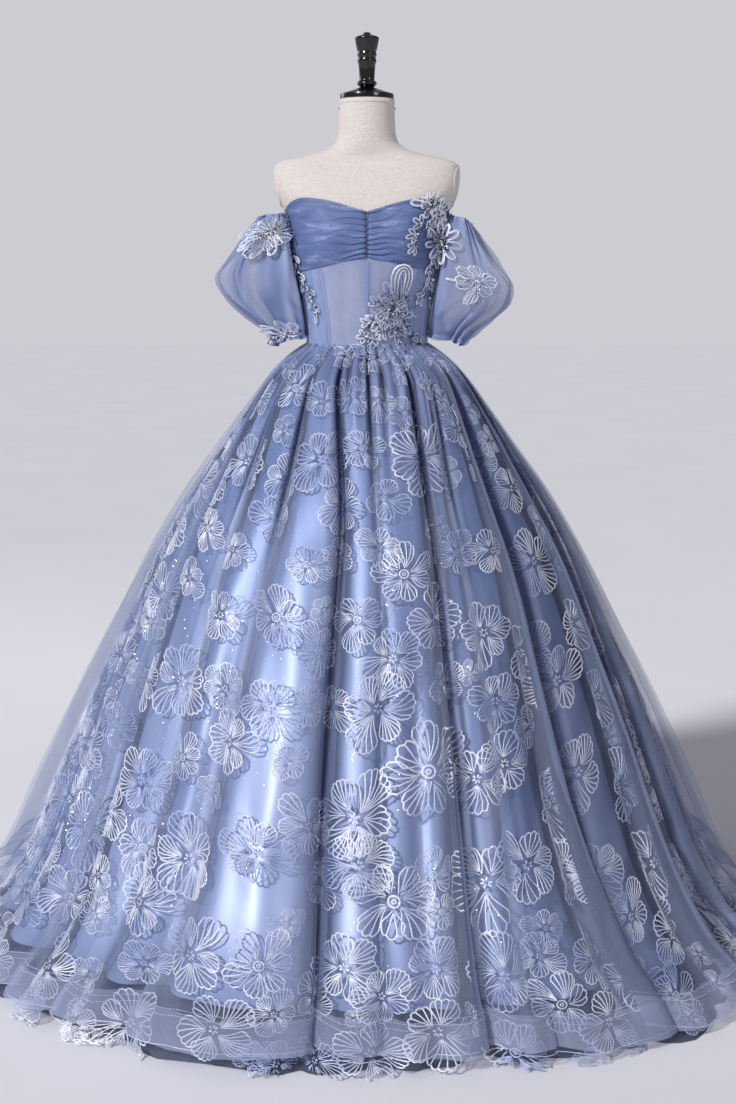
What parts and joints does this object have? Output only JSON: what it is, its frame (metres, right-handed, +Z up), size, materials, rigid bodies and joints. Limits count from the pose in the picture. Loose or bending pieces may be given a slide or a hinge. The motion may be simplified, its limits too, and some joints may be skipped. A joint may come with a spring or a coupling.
{
  "type": "ball gown on dress form",
  "caption": "Off-the-shoulder ball gown with puff sleeves, ruched bodice and full layered flower-lace skirt, on a limbless dress form.",
  "frame": {"origin": "centre of the underside of the stand's base, on the floor", "axes": "+Z up, -Y the front of the gown, +X the wearer's left"},
  "size_m": [1.6532, 1.7949, 1.7488],
  "materials": {
    "linen": "matt woven",
    "black_lacquer": "gloss black lacquer",
    "stand_metal": "satin",
    "blue_tulle": "matt",
    "lavender_mesh": "sheer mesh",
    "sleeve_tulle": "sheer tulle",
    "overskirt_tulle": "sheer tulle",
    "lace_net": "embroidered net",
    "satin": "satin",
    "dark_net": "stiff net",
    "horsehair_braid": "sheer stiff braid",
    "silver_cord": "corded embroidery",
    "zip_tape": "woven tape"
  },
  "bodies": {
    "root": {"form_torso": "linen", "form_arm_plate_left": "linen", "form_arm_plate_right": "linen", "form_neck_cap": "black_lacquer", "form_finial": "black_lacquer", "form_pole": "stand_metal", "form_base": "stand_metal", "bust_drape_left": "blue_tulle", "bust_drape_right": "blue_tulle", "midriff_front_left": "lavender_mesh", "midriff_front_right": "lavender_mesh", "side_panel_left": "blue_tulle", "side_panel_right": "blue_tulle", "back_panel_left": "blue_tulle", "back_panel_right": "blue_tulle", "boning_centre": "lavender_mesh", "boning_left": "blue_tulle", "boning_right": "blue_tulle", "back_zip": "zip_tape", "sleeve_left": "sleeve_tulle", "sleeve_right": "sleeve_tulle", "overskirt_front": "overskirt_tulle", "hem_braid_front": "horsehair_braid", "lace_skirt_front": "lace_net", "lining_skirt_front": "satin", "petticoat_front": "dark_net", "overskirt_back": "overskirt_tulle", "hem_braid_back": "horsehair_braid", "lace_skirt_back": "lace_net", "lining_skirt_back": "satin", "petticoat_back": "dark_net", "applique_shoulder_left": "silver_cord", "applique_side_right": "silver_cord", "applique_waist": "silver_cord", "applique_shoulder_right": "silver_cord", "applique_cuff_right": "silver_cord", "applique_sleeve_left": "silver_cord"}
  },
  "joints": []
}
